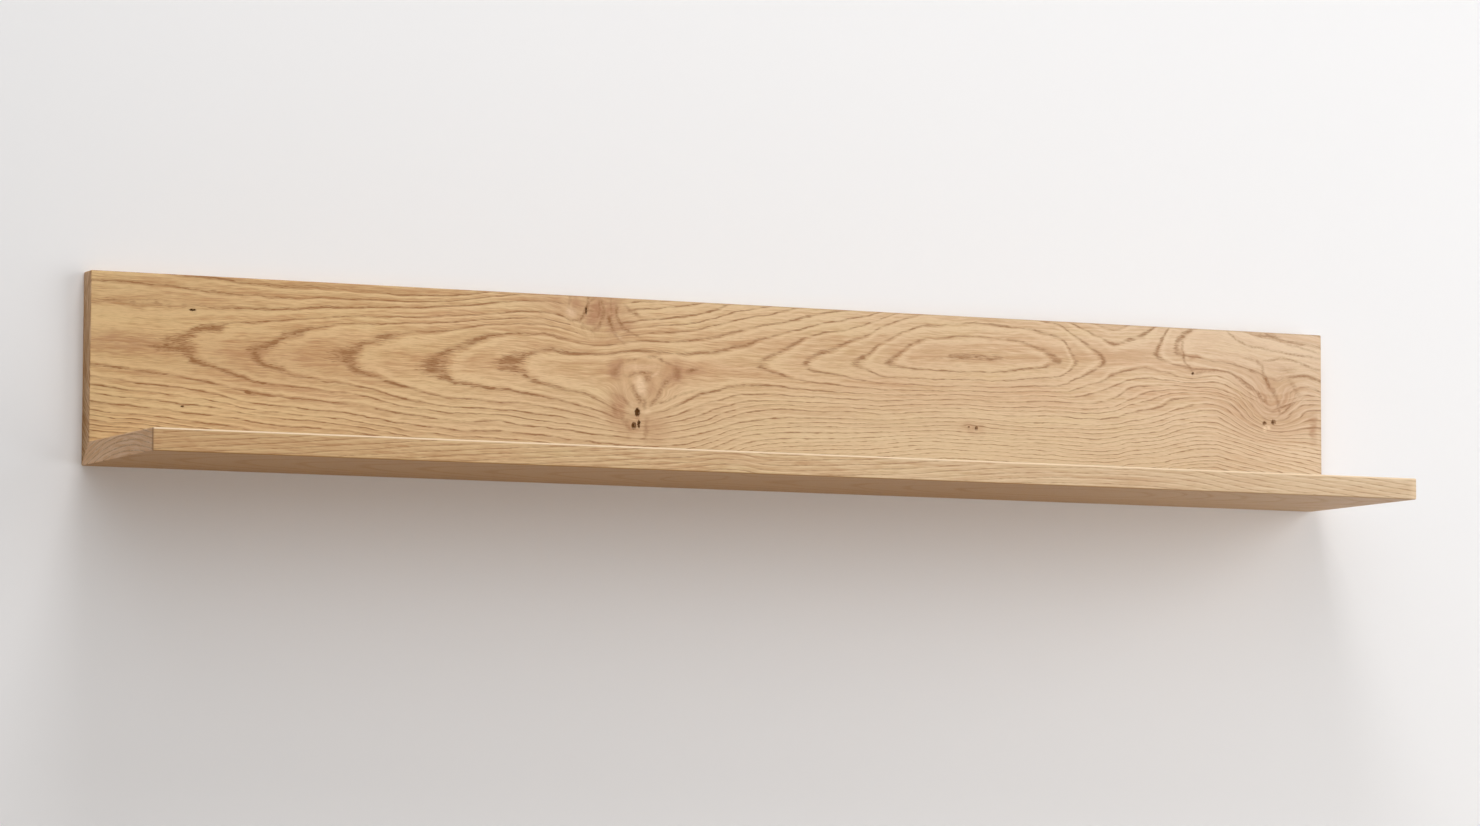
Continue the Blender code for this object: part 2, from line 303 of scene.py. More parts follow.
def spot(point, x, z, wide, tall, turn=0.0):
    """1 in the middle of an oval that can be turned, and smoothly down to nothing at its rim."""
    tree = point.id_data
    moved = tree.nodes.new("ShaderNodeMapping")
    moved.vector_type = "TEXTURE"
    moved.inputs["Location"].default_value = (x * MM, z * MM, 0)
    moved.inputs["Rotation"].default_value = (0, 0, turn)
    moved.inputs["Scale"].default_value = (wide * MM * SPOT_REACH, tall * MM * SPOT_REACH, 1)
    ball = tree.nodes.new("ShaderNodeTexGradient")
    ball.gradient_type = "SPHERICAL"
    tree.links.new(point, moved.inputs["Vector"])
    tree.links.new(moved.outputs[0], ball.inputs["Vector"])
    return Wire(tree, ball.outputs["Fac"]).step(0.0, 1.0)


def strongest(marks):
    """The greatest of the marks at each place, kept as the marks are made one by one."""
    result = None
    for mark in marks:
        result = mark if result is None else result.through("MAXIMUM", mark)
    return result


def spots(point, marks):
    return strongest(spot(point, *lie) * strength for *lie, strength in marks)


def stroke(point, start, end, width):
    x, z = (start[0] + end[0]) / 2, (start[1] + end[1]) / 2
    run, rise = end[0] - start[0], end[1] - start[1]
    long, wide = math.hypot(run, rise) * STROKE_OVERLAP, width * STROKE_SPREAD
    return spot(point, x, z, long, wide, turn=math.atan2(rise, run))


def drawn(point, lines):
    """Soft lines: each has its start, and then the end, the width and the strength of each stroke."""
    return strongest(stroke(point, before, after, after[2]) * after[3]
                     for line in lines for before, after in zip(line, line[1:]))


def nudged(place, *pushes):
    """Each place on the face as a vector, pushed by noises with a reach along and one across."""
    along, across, _ = place
    for push, (far_along, far_across) in pushes:
        along, across = along + push * far_along, across + push * far_across
    point = along.tree.nodes.new("ShaderNodeCombineXYZ")
    feed(point.inputs["X"], along)
    feed(point.inputs["Y"], across)
    return point.outputs[0]


# %% Where the knots, holes and stains of the panel lie
# (place along, height) of a knot's root, its height, its width share, how strong its streaks are
KNOT_FANS = (((.636, .080), .062, .98, .8), ((.577, .150), .072, 1.05, .8))
# all in mm: place along, height, reach along, reach up; then how dark the hole is painted, with its own dark
# wood and painted shade
HOLES = (
    (628.6, 80, 2.9, 4.8, 1), (624.5, 65, 2.9, 4, .8), (630.4, 67, 1.6, 4.6, 1), (1423, 98.8, 3, 2.6, .5),
    (1435, 100.2, 3.4, 3.6, .58), (1328, 152.5, 1.9, 1.7, .6), (1037.5, 79.5, 1.6, 1.2, .45),
    (1047.5, 78.5, 2, 2.6, .55), (113, 168, 4, 1.2, .8), (103, 65, 2, 1, .6), (566.5, 189, 0.9, 4.5, .8))
STAINS = (
    (627.5, 73, 5, 12, .75), (605, 83, 14, 17, .85), (622, 66, 20, 14, .6), (648, 64, 16, 16, .55),
    (603, 126, 9, 11, .85), (676, 124, 11, 13, .85), (692, 128, 20, 6, .48), (578, 187, 11, 16, 1.25),
    (596, 189, 11, 20, 1), (613, 188, 10, 8, .45), (619, 56, 7, 5, .5), (606, 173, 16, 11, .8),
    (556, 194, 13, 13, .7), (530, 195, 30, 12, .35), (646, 108, 9, 9, .45), (660, 122, 8, 12, .35),
    (540, 192, 20, 12, .3), (1042, 79, 14, 6, .5), (1330, 173, 6, 3, .75), (1428, 104, 18, 12, .5),
    (1430, 121, 52, 38, .44), (1489, 98, 5, 18, .75), (90, 180, 120, 22, .24), (185, 119, 115, 28, .4),
    (35, 130, 60, 13, .6), (110, 127, 20, 9, .3), (186, 125, 14, 9, .3), (290, 123, 20, 10, .25),
    (1390, 152, 8, 10, .2), (985, 128, 200, 24, .16))
# the same, then how much the lines of the rings fade there
BLURRED = ((626, 76, 34, 28, 1), (70, 172, 120, 12, 1), (1438, 128, 32, 34, 1.3))
print(len(HOLES), "holes and", len(STAINS), "stains")

# %% The rims, splits and bright fibres of the knots, line by line
# each line, in mm: place along and height of its start, then for each stroke the same of its end,
# its width and its strength
DARK_LINES = (
    ((601, 119), (604, 128, 3.4, .55), (611, 135, 1.8, .5), (621, 137, 1.2, .35)),
    ((620, 137), (629, 139, 1.2, .45)), ((641, 141), (653, 143, 1.6, .5)),
    ((653, 141), (661, 138, 1.5, .6), (671, 133.5, 1.4, .5)), ((676, 131), (676, 119, 3.8, .6)),
    ((667, 119), (658, 108, 2.8, .6), (652, 96, 2, .6), (645, 89, 1.7, .8)),
    ((643, 91.5), (651, 90, 1.3, .5)),
    ((652, 90.5), (664, 93, 1.2, .5), (676, 100, 1.2, .5), (700, 107, 1.1, .35)),
    ((619, 120.5), (631, 123, 2, .6)), ((630, 123), (643, 124.5, 1.8, .75), (648, 122.5, 1.5, .45)),
    ((644, 120), (636, 114.5, 3, .65)), ((621, 110), (627, 102, 2, .55)),
    ((626.5, 103), (632, 90, 2.5, .85)), ((636, 95), (637, 84, 2.6, .5)),
    ((640, 72), (638.5, 52, 2.4, .42)), ((598, 100), (606, 96, 1.2, .3)), ((609, 97), (618, 89, 1.6, .55)),
    ((598, 88), (604, 76, 2.2, .4)), ((689, 128), (699, 129.5, 1.4, .9)), ((608, 80), (613, 67, 1.8, .4)),
    ((612, 72), (621, 60, 1.9, .4)), ((569, 206), (569, 195, 1.4, .6)), ((569, 197), (564, 184, 1.7, 1)),
    ((565, 186), (560, 178, 1.6, .85)), ((559, 179), (549, 177, 1.2, .6), (543, 180, 1.1, .5)),
    ((564, 176), (563, 170, 2, .35)), ((585, 201), (588, 190, 1.5, .65), (585.5, 179, 1.7, .8)),
    ((586, 180), (582, 171, 1.5, .65)), ((582, 200), (583, 190, 1, .5), (580.5, 183, 1, .45)),
    ((570, 198), (576, 203, 1.2, .4)), ((582, 171), (573, 169, 1.4, .35)),
    ((564, 173), (577, 165, 1.3, .35)), ((593, 184), (598, 174, 2.1, .95)),
    ((598, 175), (599.5, 168, 1.9, .7)),
    ((603, 195), (604, 183, 1.4, .65), (611, 171, 1.5, .75), (620, 167, 1.4, .6), (631, 163, 1.3, .5)),
    ((599, 168), (606, 160, 1.5, .38)), ((606, 162), (612, 155, 1.2, .35)),
    ((613, 196), (621, 190, 1.6, .38)), ((620, 191), (630, 186, 1.7, .55)),
    ((596, 202), (597, 188, 1, .35)), ((548, 205), (546, 194, 1.3, .35)),
    ((62, 127.5), (98, 126.2, .8, .8)),
    ((1315, 188), (1314, 178, 1.3, .5), (1317, 167, 1.3, .7), (1327, 155, 1.2, .5)),
    ((1331, 153), (1346, 156.4, 1.3, .45), (1362, 157.4, 1.3, .45), (1378, 156, 1.2, .4),
     (1390, 147, 1.3, .45), (1414, 134, 1.4, .6), (1420, 128, 1.6, .7), (1427, 122, 1.8, .5)),
    ((1376, 202), (1386, 194, 1.2, .5), (1400, 188.5, 1.2, .5), (1430, 184, 1.1, .5), (1502, 177, 1.1, .45)),
    ((1404, 202), (1430, 198, 1, .4), (1450, 193, 1, .4), (1502, 183, 1, .35)),
    ((1426, 172), (1446, 175.5, 1.1, .5), (1470, 172, 1.1, .5), (1488, 165, 1.2, .5), (1502, 164, 1.1, .4)),
    ((1400, 174), (1412, 171.5, 1.3, .35)),
    ((1412, 172), (1420, 166, 1.4, .45), (1422, 155, 1.6, .5), (1431, 140, 1.8, .85)),
    ((1433, 140), (1440, 129, 2, .6), (1442, 118, 1.8, .6), (1445, 112, 1.4, .5)),
    ((1441, 117), (1460, 123, .9, .9)), ((1445.5, 110.5), (1461, 122.5, .9, .85)),
    ((1446, 162), (1464, 162, 2.8, .32)), ((1458, 149), (1469, 135, 2.2, .42)),
    ((1458, 155), (1483, 156, 1, .5)), ((1480, 156), (1502, 150, 1, .5)))
PALE_LINES = (
    ((629, 116), (635.5, 102, 4.4, .95)), ((640, 83), (641, 79, 3.6, .6)),
    ((614, 129), (650, 131, 3.2, .4)), ((646, 120), (652, 124, 1.2, .5)), ((546, 190), (552, 183, 3.8, .6)),
    ((603, 164), (610, 159, 1.1, .45)), ((1422.5, 94.5), (1425.5, 90.5, 1.8, 1)),
    ((1427, 95.5), (1430.5, 93, 1.5, .9)))
print(len(DARK_LINES), "dark lines and", len(PALE_LINES), "pale ones")


# %% The knots' fans, which open upwards from their roots
# how far a fan sways and lifts, how thin its foot is, and how blunt the point where its rays meet
FAN_SWAY, FAN_LIFT, FAN_FOOT, FAN_HUB = .012, .010, .0015, .014
# the share of its height where a fan fades out, and how far above its root it has come in
FAN_FADES, FAN_COMES = (.86, 1.10), (0.0, .016)
RAY_SIZES, RAY_DETAIL, RAY_SHIFT = (.13, .9, .05), 3.0, 7


def knot_fans(place, swirl):
    """Where the knots lie, and the streaks in them."""
    along, across, through = place
    inside, streaks = [], along * 0
    for root, tall, wide, strength in KNOT_FANS:
        sideways = along - root[0] + swirl * FAN_SWAY
        risen = across - root[1]
        up = (risen + swirl * FAN_LIFT).through("MAXIMUM", FAN_FOOT)
        share = up * (1 + (sideways / (up * wide)).squared().squared()) * (1 / tall)
        within = (1 - share.step(*FAN_FADES)) * risen.step(*FAN_COMES)
        turned = sideways / (up + FAN_HUB)
        rays = noise((turned, share, through), RAY_SIZES, RAY_DETAIL, root[0] * RAY_SHIFT)
        streaks = streaks + rays * within * strength
        inside.append(within)
    return strongest(inside), streaks


# %% Holes, stains and strokes, with edges that wander a little
JAG = (.0022, .0022, .0022), 2.0, 15.0
# how far along and across the quick jag and the slow swirl push each kind of mark
HOLE_JAG, STAIN_SWIRL = (.0052, .0042), (.014, .010)
STROKE_SWIRL, STROKE_JAG = (.005, .004), (.0016, .0012)
HOLE_EDGE = (.20, .65)
STAIN_GRAIN, STAIN_GRAIN_REACH = ((.014, .0022, .0022), 2.0, 27.0), 2.2
BROKEN, BROKEN_REACH, BROKEN_MIDDLE = ((.004, .0022, .004), 3.0, 44.0), 3.4, 1.05


def panel_marks(place, line, swirl):
    along, _, through = place
    jag = noise(place, *JAG)
    hole = spots(nudged(place, (jag, HOLE_JAG)), HOLES).step(*HOLE_EDGE)
    stain = spots(nudged(place, (swirl, STAIN_SWIRL)), STAINS)
    stain = stain * (noise((along, line, through), *STAIN_GRAIN) * STAIN_GRAIN_REACH + 1)
    brushed = nudged(place, (swirl, STROKE_SWIRL), (jag, STROKE_JAG))
    broken = noise(place, *BROKEN) * BROKEN_REACH + BROKEN_MIDDLE
    rim = drawn(brushed, DARK_LINES) * broken
    gleam = drawn(brushed, PALE_LINES) * (broken * .4 + .5)
    return {"hole": hole, "stain": stain, "rim": rim, "gleam": gleam}


# %% [markdown]
# ## One field for each board
#
# Both boards share one recipe for their colours, and each gives it a field: the count of rings
# and the marks at every place. Daylight has bleached the panel low down, and its top right has
# gone rosy. The board's underside shows little figure and gets a painted shade, its front arris a
# painted highlight, and a thin painted shade darkens the panel's top arris and the board's left
# front corner. What a board lacks, one function fills in as nothing.

# %% What a field is made of
FIELD_PARTS = "stain hole inside fan rim gleam blurred low_left dashes bleached rosy corner under plain arris"


def whole_field(nothing, **parts):
    return {**dict.fromkeys(FIELD_PARTS.split(), nothing), **parts}


# %% The panel's field
LEFT_PART, LOW_PART = (.40, .60), (.085, .125)
# (place along, how far the low part is bleached)
BLEACHED = ((0, .14), (.3, .26), (.5, .36), (.8, .52), (1.05, .56), (1.2, .40), (1.5, .22))
BLEACHED_UNDER = (.055, .135)
SWIRL = (.016, .012, .02), 2.0, 12.0
DASHES, LEFT_DASHES, RIGHT_DASHES = ((.020, .006, .006), 0, 31.0), 3.0, 1.9
ROSY_ALONG, ROSY_ABOVE, ROSY_SHARE = (1.10, 1.45), (.12, .17), .34
# a thin painted shade along the panel's top arris: how high it lies, where along it comes in, and how dark
TOP_ARRIS, TOP_ARRIS_ALONG, TOP_ARRIS_SHADE = (HEIGHT - .0022, HEIGHT - .0008), (.2, .5), .36


def panel_field(x, y, z):
    along, across, through = place = x + LENGTH / 2, z + HEIGHT / 2, y * -1
    left_share = 1 - along.step(*LEFT_PART)
    low_left = left_share * (1 - across.step(*LOW_PART))
    ripple = noise(place, RIPPLE_SIZES, offset=RIPPLE_START) * low_left * RIPPLE_REACH
    sway = straying(place, PANEL_SWAYS) + ripple
    line = panel_line(place, sway)
    rings, tip = panel_rings(place, line, sway, left_share)
    swirl = noise(place, *SWIRL)
    inside, fan = knot_fans(place, swirl)
    marks = panel_marks(place, line, swirl)
    bleached = drawn_curve(along, BLEACHED, 0, 1) * (1 - across.step(*BLEACHED_UNDER))
    dashes = noise(place, *DASHES) * (low_left * LEFT_DASHES + (1 - left_share) * RIGHT_DASHES)
    blurred = strongest(oval(along, across, *lie) * share for *lie, share in BLURRED)
    rosy = along.step(*ROSY_ALONG) * across.step(*ROSY_ABOVE) * ROSY_SHARE
    # painted shade along the top arris
    corner = across.step(*TOP_ARRIS) * along.step(*TOP_ARRIS_ALONG) * TOP_ARRIS_SHADE
    return whole_field(along * 0, fibre=(along, line, through), rings=rings, tip=tip, inside=inside, fan=fan,
                       bleached=bleached, dashes=dashes, blurred=blurred, low_left=low_left, rosy=rosy,
                       corner=corner, **marks)


# %% The log of the shelf board, and the board's field
DEPTH = 0.230
# (place along the board, how far the heart lies below its underside, in metres)
BOARD_HEART = ((0, .430), (.30, .405), (.60, .382), (.65, .377), (.69, .382), (.75, .380), (1.125, .360),
               (1.3, .378), (1.5, .400))
BOARD_SWAYS = (((.28, .10, .10), 7.3, .010), ((.050, .016, .016), 2.6, .0034))
BOARD_WAVES, BOARD_WAVE_REACH = ((.040, .03, .006), 0, 4.4), .0016
HEART_BEHIND_EDGE = 0.090
BOARD_TIP_REACH, BOARD_TIP_SHARE = .05, .35
# how thin the skin of the underside and the front is, and how far the painted shade at the left front corner
# reaches
FACE_SKIN, LEFT_CORNER = (.0004, .0016), (.0012, .0024)
# the painted highlight along the front arris, and its weaker one at the right end
ARRIS_ACROSS, ARRIS_UP = (.0012, .0018), (THICK - .0019, THICK - .0014)
ARRIS_END, ARRIS_END_SHARE = (LENGTH - .012, LENGTH - .002), .35
# where along the board its edge is stained or bleached and the painted shade on its underside fades, and how
# much
EDGE_STAINED, EDGE_STAIN = (.05, .50), .36
EDGE_BLEACHED, EDGE_BLEACH = (.80, 1.60), .34
UNDER_SHADE_FADES, UNDER_SHADE_FADING = (.95, 1.50), .42
UNDER_PLAIN, EDGE_PLAIN = .80, .32


def board_field(x, y, z):
    along, across, up = place = x + LENGTH / 2, y + DEPTH, z + HEIGHT / 2
    sway = straying(place, BOARD_SWAYS)
    line = across + sway - HEART_BEHIND_EDGE
    # the underside, which is painted darker as painted shade and shows little figure
    under = 1 - up.step(*FACE_SKIN)
    front = 1 - across.step(*FACE_SKIN)
    # a painted highlight on the top arris of the front, and a weaker one on the front at the right end
    arris = (1 - across.step(*ARRIS_ACROSS)) * up.step(*ARRIS_UP)
    arris = arris.through("MAXIMUM", front * (along.step(*ARRIS_END) * ARRIS_END_SHARE))
    deep = drawn_curve(along, BOARD_HEART, .34, .46) + up
    deep = deep + noise(place, *BOARD_WAVES) * BOARD_WAVE_REACH
    rings = (line.squared() + deep.squared()).through("SQRT") * (1 / RING)
    return whole_field(along * 0, fibre=(along, across + sway, up + sway * .3), rings=rings, arris=arris,
                       tip=(line * (1 / BOARD_TIP_REACH)).hill() * BOARD_TIP_SHARE,
                       stain=front * (1 - along.step(*EDGE_STAINED)) * EDGE_STAIN,
                       # painted shade on the underside, less of it towards the right end
                       under=under * (1 - along.step(*UNDER_SHADE_FADES) * UNDER_SHADE_FADING),
                       bleached=front * along.step(*EDGE_BLEACHED) * EDGE_BLEACH,
                       # painted shade along the left front corner
                       corner=(1 - along.step(*LEFT_CORNER)) * front,
                       plain=(under * UNDER_PLAIN).through("MAXIMUM", front * EDGE_PLAIN))


# %% The dark lines of the pores, and the dense wood between them
# (place along, how wide the lines are, and how strong the fine fibres)
LINE_WIDTH = ((0, .82), (.60, .86), (.85, .76), (1.2, .76), (1.5, .95))
FINE_FIBRES = ((0, 2.5), (.6, 2.2), (1.0, 1.9), (1.5, 1.7))
RAGGED, RAGGED_REACH = ((.010, .0010, .0010), 1.0, 2.9), .26
# how much each stretch of a line weighs, and what share of that is lost in a knot or a blurred place
WEIGHT, WEIGHT_REACH, WEIGHT_MIDDLE, LEAST_WEIGHT = ((.07, .005, .005), 2.0, 2.2), 2.8, .80, .22
LOST_IN_KNOT, LOST_IN_BLUR = .85, .7
PORES, PORE_EDGE = ((.010, .0008, .0008), 1.0, 6.0), (-.02, .14)
# shares of a year: where a line of pores comes in, where it and its soft tail end, and the late wood
LINE_COMES, LINE_ENDS, TAIL_ENDS = (0.0, .15), (.12, .38), (.05, .46)
LATE_COMES, LATE_ENDS = (.60, .92), (.92, 1.0)


def ring_lines(field):
    """How dark the pores are at each place, and how far it lies in the year's dense wood."""
    fibre, tip = field["fibre"], field["tip"]
    ragged = noise(fibre, *RAGGED) * RAGGED_REACH
    year = (field["rings"] + ragged * (.35 + tip * .85)).through("FRACT")
    start = year.step(*LINE_COMES)
    narrowed = year / drawn_curve(fibre[0], LINE_WIDTH, 0, 1)
    sharp = start * (1 - narrowed.step(*LINE_ENDS))
    tail = start * (1 - narrowed.step(*TAIL_ENDS)) * (1 - field["low_left"] * .6)
    late = year.step(*LATE_COMES) * (1 - year.step(*LATE_ENDS)) * (1 + field["low_left"] * .8)
    weight = noise(fibre, *WEIGHT) * WEIGHT_REACH + WEIGHT_MIDDLE + field["dashes"]
    weight = weight.through("MAXIMUM", LEAST_WEIGHT) + tip * .16
    weight = weight * (1 - field["inside"] * LOST_IN_KNOT) * (1 - field["blurred"] * LOST_IN_BLUR)
    pores = noise(fibre, *PORES).step(*PORE_EDGE)
    dark = sharp * (.58 + pores * .85) + tail * (.15 + pores * (.34 + tip * .34) + tip * .06)
    return (dark * weight + pores * .15).kept_between(0, 1), late


# %% The colours of oak
# each pair: the cool wood of the panel's right end, and the warm wood of its left
PALE_WOOD = (.740, .562, .385), (.740, .512, .248)
TAN_WOOD = (.576, .369, .212), (.505, .272, .105)
PORE_LINE = (.324, .171, .077), (.300, .133, .039)
RED_CAST, YELLOW_CAST = (.660, .385, .225), (.700, .555, .275)
# (part of the field, how much of it tints the wood, its colour), in the order of the coats; the tint of the
# shaded underside is painted shade
TINTS = (("bleached", 1.0, (.745, .605, .385)), ("rosy", 1.0, (.80, .62, .44)),
         ("stain", .85, (.44, .225, .110)), ("under", .92, (.355, .168, .036)),
         ("rim", .90, (.285, .125, .036)), ("gleam", .80, (.90, .69, .46)))
# the painted highlight on the arris, and the dark brown of the holes, which is their own dark wood and
# painted shade
ARRIS_HIGHLIGHT, HOLE_BROWN_AND_SHADE = (.88, .68, .46), (.135, .062, .022)
# (place along, how warm the wood is, and how dark its lines)
WARMTH = ((0, 1.0), (.25, .88), (.5, .66), (.75, .52), (.9, .40), (1.2, .25), (1.5, .05))
CONTRAST = ((0, 1), (.5, .98), (.75, .94), (1.0, .88), (1.5, .88))
STREAKS, STREAK_REACH = ((.090, .0030, .0030), 3.0, 9.0, .6), 2.3
FINE = (.020, .0011, .0011), 2.0, 19.0
BROAD, BROAD_REACH, MIDDLE_TONE = ((.50, .030, .030), 2.0, 4.0), 1.7, .545
HUE, HUE_REACH, RED_SHARE, YELLOW_SHARE = ((.10, .016, .016), 3.0, 23.0, .6), 3.4, .22, .28


def oak_colours(field):
    along, _, _ = fibre = field["fibre"]
    dark, late = ring_lines(field)
    streak = noise(fibre, *STREAKS) * STREAK_REACH
    fine = noise(fibre, *FINE)
    broad = noise(fibre, *BROAD) * BROAD_REACH
    showing = 1 - field["plain"]
    grain = (streak + fine * drawn_curve(along, FINE_FIBRES, 0, 3)) * (1 - field["inside"] * .7)
    tone = MIDDLE_TONE + broad + grain * (showing * .4 + .6) + late * .55 * showing + field["fan"] * 1.4
    warm = drawn_curve(along, WARMTH, 0, 1)
    base = blend(tone.kept_between(0, 1.25), blend(warm, *TAN_WOOD), blend(warm, *PALE_WOOD))
    hue = noise(fibre, *HUE) * HUE_REACH
    base = blend(hue.kept_between(0, 1) * RED_SHARE, base, RED_CAST)
    base = blend((hue * -1).kept_between(0, 1) * YELLOW_SHARE, base, YELLOW_CAST)
    for part, share, tint in TINTS:
        base = blend(field[part] * share, base, tint)
    line_share = dark * drawn_curve(along, CONTRAST, 0, 1) * showing
    colour = blend(line_share, base, blend(warm, *PORE_LINE))
    # a painted highlight on the arris
    colour = blend(field["arris"], colour, ARRIS_HIGHLIGHT)
    # the holes painted dark brown: their own dark wood and painted shade
    return blend(field["hole"], colour, HOLE_BROWN_AND_SHADE), dark


# %% [markdown]
# ## End grain
#
# On the ends the same rings are cut across, and the rays that run out from the heart show as
# fine pale lines. Sawn ends drink the oil and go darker than the faces. A second material on them
# would show a hard seam on the eased edges, so a thin skin at each end fades from one colour to
# the other.

# %% End grain: the same rings, with rays across them
END_BAND, END_PORES, END_RAY = (.80, .55, .33), (.33, .170, .08), (.74, .51, .32)
# the painted shade along the panel's top arris and the board's left front corner
EDGE_SHADE_BROWN = (.25, .13, .055)
END_RAYS, RAY_SLANT, RAY_EDGE = ((.02, 6.0, .0016), 2.0, 3.3), .8, (.06, .28)
END_BANDS, BAND_REACH = ((.02, .45, .03), 3.0, 6.1), 4
BAND_SHARE, PORE_DEPTH, RAY_SHARE, EDGE_SHADE_SHARE = .70, .80, .45, .75


def end_grain(field, ends, colour, dark, worn_colour):
    along, across, through = field["fibre"]
    rays = noise((along, field["rings"], across + through * RAY_SLANT), *END_RAYS).step(*RAY_EDGE)
    bands = (noise((along, field["rings"], across), *END_BANDS) * BAND_REACH + .5).kept_between(0, 1)
    worn = blend(bands * BAND_SHARE, worn_colour, END_BAND)
    worn = blend((dark * PORE_DEPTH).kept_between(0, 1), worn, END_PORES)
    rayed = blend(rays * RAY_SHARE, worn, END_RAY)
    # painted shade along the arris and the corner, on faces and ends alike
    return blend(field["corner"] * EDGE_SHADE_SHARE, blend(ends, colour, rayed), EDGE_SHADE_BROWN)


# %% The oak materials
END_SKIN = (.00048, .0012)
SHINE_PORES = (.006, .0006, .0006), 1.0, 40.0
WORN_PANEL_END, WORN_BOARD_END = (.445, .215, .064), (.63, .335, .135)


def oak(name, field_of, worn_colour):
    material, shader, (x, y, z) = new_material(name)
    field = field_of(x, y, z)
    colour, dark = oak_colours(field)
    from_end = x.through("ABSOLUTE") * -1 + LENGTH / 2
    ends = 1 - from_end.step(*END_SKIN)
    feed(shader.inputs["Base Color"], end_grain(field, ends, colour, dark, worn_colour))
    pores = noise(field["fibre"], *SHINE_PORES)
    feed(shader.inputs["Roughness"], (dark * .14 + pores * .20 + .50).kept_between(.3, .9))
    feed(shader.inputs["Specular IOR Level"], (1 - field["hole"]) * .40)
    add_bump(shader, dark * -.6 + pores * .5, strength=0.35, distance=0.0003)
    print(name, "has", len(material.node_tree.nodes), "nodes")
    return material


panel_oak = oak("oak_of_back_panel", panel_field, WORN_PANEL_END)
board_oak = oak("oak_of_shelf_board", board_field, WORN_BOARD_END)

# %% [markdown]
# ## The two boards
#
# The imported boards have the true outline, the mitre and the eased edges. The real panel also
# has small open knots and worm holes, which are hollows and not just dark spots. Paint alone
# would do from a distance, but near by a hollow has a lit side and a shaded side. So each
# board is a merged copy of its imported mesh, small uneven lumps are cut out of the panel with
# a Boolean, and weighted normals keep the flats flat beside the eased edges.

# %% A new object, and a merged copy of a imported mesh
MERGE_REACH = 0.00001
SHARP_ANGLE = math.radians(35)


def placed(name, data):
    thing = bpy.data.objects.new(name, data)
    bpy.context.collection.objects.link(thing)
    return thing


def merged_copy(node, name):
    mesh = nodes[node].data.copy()
    mesh.name = name
    form = bmesh.new()
    form.from_mesh(mesh)
    bmesh.ops.remove_doubles(form, verts=form.verts, dist=MERGE_REACH)
    form.to_mesh(mesh)
    form.free()
    return placed(name, mesh)


def settle_modifiers(piece):
    """Turn what the modifiers make into the piece's plain mesh."""
    graph = bpy.context.evaluated_depsgraph_get()
    made = bpy.data.meshes.new_from_object(piece.evaluated_get(graph), depsgraph=graph)
    piece.modifiers.clear()
    made.name = piece.name
    piece.data = made
    return piece


# %% Hollows for the open knots and worm holes
HOLLOW_DEPTH = 0.0022
# how much the lumps swell, how fine their bumps are, and how far apart in the noise two of them lie
JAGGEDNESS, JAG_SCALE, JAG_SHIFT = 0.35, 2.2, 0.09


def hollow_cutter(name):
    form = bmesh.new()
    for x, z, wide, tall, _ in HOLES:
        lump = bmesh.ops.create_icosphere(form, subdivisions=3, radius=1.0)["verts"]
        shift = Vector((x * JAG_SHIFT, z * JAG_SHIFT, 0))
        for vert in lump:
            swell = 1 + JAGGEDNESS * space_noise.noise(vert.co * JAG_SCALE + shift)
            vert.co = Vector((vert.co.x * (wide * MM), vert.co.y * HOLLOW_DEPTH, vert.co.z * (tall * MM)))
            vert.co *= swell
            vert.co += Vector((x * MM - LENGTH / 2, -THICK, z * MM - HEIGHT / 2))
    mesh = bpy.data.meshes.new(name)
    form.to_mesh(mesh)
    form.free()
    return placed(name, mesh)


# %% Make both boards
def dressed_board(node, name, material, cutter=None):
    board = merged_copy(node, name)
    board.data.materials.clear()
    board.data.materials.append(material)
    if cutter:
        cutter.data.materials.append(material)
        cut = board.modifiers.new("open knots", "BOOLEAN")
        cut.operation = "DIFFERENCE"
        cut.solver = "EXACT"
        cut.object = cutter
    board = settle_modifiers(board)
    for face in board.data.polygons:
        face.use_smooth = True
    board.data.set_sharp_from_angle(angle=SHARP_ANGLE)
    even = board.modifiers.new("even shading", "WEIGHTED_NORMAL")
    even.keep_sharp = True
    settle_modifiers(board)
    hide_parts(node)
    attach(board, "root")
    print(name, "has", len(board.data.polygons), "faces")
    return board


cutter = hollow_cutter("open_knots")
dressed_board("back_panel", "oak_back_panel", panel_oak, cutter)
bpy.data.objects.remove(cutter)
dressed_board("shelf_board", "oak_shelf_board", board_oak)

# %% [markdown]
# ## Trees that make shapes
#
# Screws and biscuits repeat, so Geometry Nodes make them: one shape from a formula, then a
# copy at each place. Copying objects by hand would work for six screws, but then a change of
# the thread would have to be made six times. The tree has the sizes as named inputs, and the
# modifier sets them by each socket's identifier.

# %% Helpers for geometry trees
def shape_tree(name, sizes):
    tree = bpy.data.node_groups.new(name, "GeometryNodeTree")
    tree.interface.new_socket("Geometry", in_out="OUTPUT", socket_type="NodeSocketGeometry")
    for label, value in sizes.items():
        kind = "NodeSocketInt" if isinstance(value, int) else "NodeSocketFloat"
        tree.interface.new_socket(label, in_out="INPUT", socket_type=kind).default_value = value
    given = tree.nodes.new("NodeGroupInput")
    tree.nodes.new("NodeGroupOutput")
    return tree, {label: Wire(tree, given.outputs[label]) for label in sizes}


def add(tree, kind, settings=None, **values):
    """Add a node, choose its settings, and feed its inputs by their names."""
    node = tree.nodes.new(kind)
    for label, value in (settings or {}).items():
        setattr(node, label, value)
    for label, value in values.items():
        feed(node.inputs[label.replace("_", " ")], value)
    return node


def point_at(tree, x, y, z):
    return add(tree, "ShaderNodeCombineXYZ", X=x, Y=y, Z=z).outputs[0]


def where_it_lies(tree):
    place = tree.nodes.new("GeometryNodeInputPosition")
    split = tree.nodes.new("ShaderNodeSeparateXYZ")
    feed(split.inputs[0], place.outputs[0])
    return [Wire(tree, socket) for socket in split.outputs]


